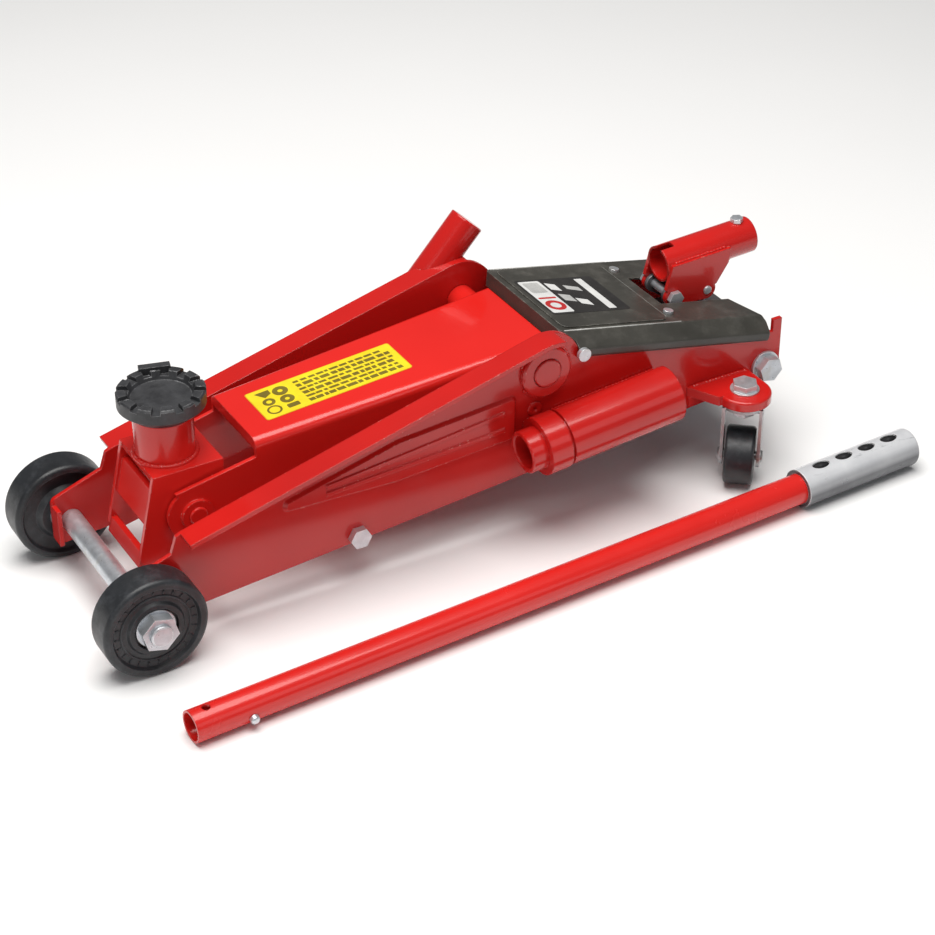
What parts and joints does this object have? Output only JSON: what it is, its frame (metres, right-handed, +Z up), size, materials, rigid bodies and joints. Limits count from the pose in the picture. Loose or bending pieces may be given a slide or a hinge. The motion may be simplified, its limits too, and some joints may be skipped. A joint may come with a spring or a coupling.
{
  "type": "hydraulic trolley jack",
  "caption": "Wheeled steel chassis with a hydraulic lift arm, levelled swivel saddle, swivel casters, pump socket, and a separate pump handle lying beside it.",
  "frame": {"origin": "middle of the whole object's footprint on the floor, handle included", "axes": "+X towards the saddle and front wheels, +Y to the jack's left, +Z up"},
  "size_m": [0.7588, 0.3458, 0.2252],
  "materials": {
    "frame_red": "gloss paint",
    "arm_red": "gloss paint",
    "handle_red": "gloss paint",
    "cover_black": "satin paint",
    "zinc": "bright zinc plate",
    "caster_steel": "dull zinc plate",
    "saddle_iron": "black oxide",
    "wheel_black": "moulded",
    "cast_body": "machined casting",
    "bright_steel": "ground",
    "bronze": "sintered bush",
    "spring_steel": "oiled",
    "plug_rubber": "moulded",
    "grip_grey": "smooth moulded"
  },
  "bodies": {
    "frame": {"left_side_plate": "frame_red", "right_side_plate": "frame_red", "pivot_bosses": "frame_red", "arm_pivot_shaft": "frame_red", "tie_spacer": "frame_red", "tie_bolt": "zinc", "rear_bolts": "zinc", "link_studs": "zinc", "front_axle": "zinc", "axle_washers": "zinc", "axle_nuts": "zinc", "left_caster_bracket": "frame_red", "right_caster_bracket": "frame_red", "caster_bolts": "zinc", "caster_bearings": "caster_steel", "storage_sleeve": "frame_red", "sleeve_liner": "frame_red", "grip_stub": "frame_red", "unit_cover": "cover_black", "cover_screws": "zinc", "pump_body": "cast_body", "reservoir_tank": "cast_body", "ram_cylinder": "cast_body", "gland_nut": "cast_body", "filler_plug": "plug_rubber", "pump_sleeve": "bronze", "socket_pivot_bolt": "zinc", "plunger_spring": "spring_steel"},
    "arm": {"lift_arm": "arm_red", "lever_pin": "zinc", "head_pin": "arm_red"},
    "head": {"saddle_bracket": "arm_red", "link_pin": "zinc"},
    "saddle": {"saddle": "saddle_iron", "saddle_clip": "zinc"},
    "links": {"left_link": "arm_red", "right_link": "arm_red"},
    "ram": {"ram_rod": "bright_steel", "ram_yoke": "cast_body", "return_springs": "spring_steel"},
    "left_wheel": {"left_front_wheel": "wheel_black", "left_wheel_bush": "bronze"},
    "right_wheel": {"right_front_wheel": "wheel_black", "right_wheel_bush": "bronze"},
    "left_caster": {"left_caster_fork": "caster_steel", "left_caster_axle": "caster_steel"},
    "right_caster": {"right_caster_fork": "caster_steel", "right_caster_axle": "caster_steel"},
    "left_caster_roll": {"left_caster_wheel": "wheel_black"},
    "right_caster_roll": {"right_caster_wheel": "wheel_black"},
    "socket": {"handle_socket": "frame_red", "clamp_screw": "zinc", "roller_pin": "zinc"},
    "roller": {"pump_roller": "bright_steel"},
    "plunger": {"pump_plunger": "bright_steel"},
    "valve": {"release_valve": "zinc"},
    "handle": {"handle_tube": "handle_red", "handle_grip": "grip_grey", "button_clip": "spring_steel"},
    "button": {"snap_button": "zinc"}
  },
  "joints": [
    {"name": "arm_lift", "type": "hinge", "parent": "frame", "child": "arm", "pos_m": [-0.0436, -0.03946, 0.153], "axis": [0, -1, 0], "range_deg": [0, 65]},
    {"name": "head_level", "type": "hinge", "parent": "arm", "child": "head", "pos_m": [0.2654, -0.03946, 0.092], "axis": [0, 1, 0], "range_deg": [0, 65]},
    {"name": "link_swing", "type": "hinge", "parent": "frame", "child": "links", "pos_m": [-0.0346, -0.03946, 0.118], "axis": [0, -1, 0], "range_deg": [0, 65]},
    {"name": "ram_travel", "type": "slide", "parent": "frame", "child": "ram", "axis": [1, 0, 0], "range_m": [0, 0.06449]},
    {"name": "saddle_turn", "type": "hinge", "parent": "head", "child": "saddle", "pos_m": [0.2724, -0.03946, 0.17], "axis": [0, 0, 1], "continuous": true},
    {"name": "left_wheel_spin", "type": "hinge", "parent": "frame", "child": "left_wheel", "pos_m": [0.3344, 0.05554, 0.045], "axis": [0, 1, 0], "continuous": true},
    {"name": "right_wheel_spin", "type": "hinge", "parent": "frame", "child": "right_wheel", "pos_m": [0.3344, -0.13446, 0.045], "axis": [0, 1, 0], "continuous": true},
    {"name": "left_caster_swivel", "type": "hinge", "parent": "frame", "child": "left_caster", "pos_m": [-0.2336, 0.06354, 0.06], "axis": [0, 0, 1], "continuous": true},
    {"name": "right_caster_swivel", "type": "hinge", "parent": "frame", "child": "right_caster", "pos_m": [-0.2336, -0.14246, 0.06], "axis": [0, 0, 1], "continuous": true},
    {"name": "left_caster_spin", "type": "hinge", "parent": "left_caster", "child": "left_caster_roll", "pos_m": [-0.23103, 0.06661, 0.0265], "axis": [0.766, -0.6428, 0], "continuous": true},
    {"name": "right_caster_spin", "type": "hinge", "parent": "right_caster", "child": "right_caster_roll", "pos_m": [-0.23103, -0.14552, 0.0265], "axis": [-0.766, -0.6428, 0], "continuous": true},
    {"name": "socket_pump", "type": "hinge", "parent": "frame", "child": "socket", "pos_m": [-0.2116, -0.03946, 0.15], "axis": [0, 1, 0], "range_deg": [0, 45]},
    {"name": "plunger_stroke", "type": "slide", "parent": "frame", "child": "plunger", "axis": [0, 0, 1], "range_m": [0, 0.02605], "deforming": ["plunger_spring"]},
    {"name": "roller_spin", "type": "hinge", "parent": "socket", "child": "roller", "pos_m": [-0.2476, -0.03946, 0.148], "axis": [0, 1, 0], "continuous": true},
    {"name": "valve_turn", "type": "hinge", "parent": "frame", "child": "valve", "pos_m": [-0.2906, -0.03946, 0.093], "axis": [1, 0, 0], "range_deg": [0, 180]},
    {"name": "handle_lift", "type": "slide", "parent": "frame", "child": "handle", "axis": [0, 0, 1], "range_m": [0, 0.25]},
    {"name": "button_press", "type": "slide", "parent": "handle", "child": "button", "axis": [0.0505, -0.9646, 0.2588], "range_m": [0, 0.0038], "stiffness_N_per_m": 800, "springref_m": -0.002}
  ],
  "couplings": [
    {"joint": "head_level", "follows": "arm_lift", "ratio": 1},
    {"joint": "link_swing", "follows": "arm_lift", "ratio": 1},
    {"joint": "ram_travel", "follows": "arm_lift", "m_per_rad": 0.056834},
    {"joint": "plunger_stroke", "follows": "socket_pump", "m_per_rad": 0.033157}
  ]
}
